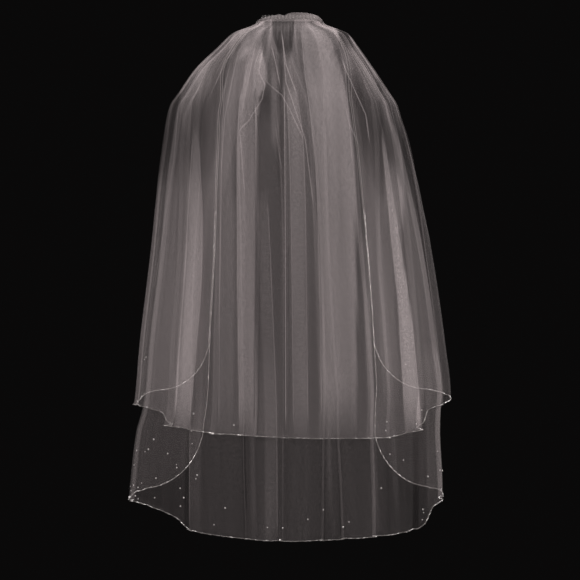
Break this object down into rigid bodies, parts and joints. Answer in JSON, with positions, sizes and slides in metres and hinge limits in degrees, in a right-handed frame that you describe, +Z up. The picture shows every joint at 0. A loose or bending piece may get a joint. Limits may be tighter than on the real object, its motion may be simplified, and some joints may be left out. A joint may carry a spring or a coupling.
{
  "type": "two-tier bridal veil on a hair comb",
  "caption": "A sheer bridal veil of two gathered tulle tiers on a hair comb, worn over the shoulders and open in front",
  "frame": {"origin": "the middle of the comb's spine, where the wearer's hair holds the veil", "axes": "+X along the comb, to the right in a view from the back; +Y forward, the way the wearer faces; +Z up"},
  "size_m": [0.5702, 0.3289, 0.9067],
  "materials": {
    "comb_plastic": "clear white moulded plastic",
    "bound_tulle": "many layers of gathered tulle, stitched",
    "tulle": "sheer soft net, diamond white",
    "edge_thread": "rolled pencil edge, satin thread",
    "glass_beads": "silver-lined bugle and seed beads, crystals"
  },
  "bodies": {
    "root": {"comb": "comb_plastic", "gather_band": "bound_tulle", "upper_tier": "tulle", "lower_tier": "tulle"}
  },
  "joints": []
}
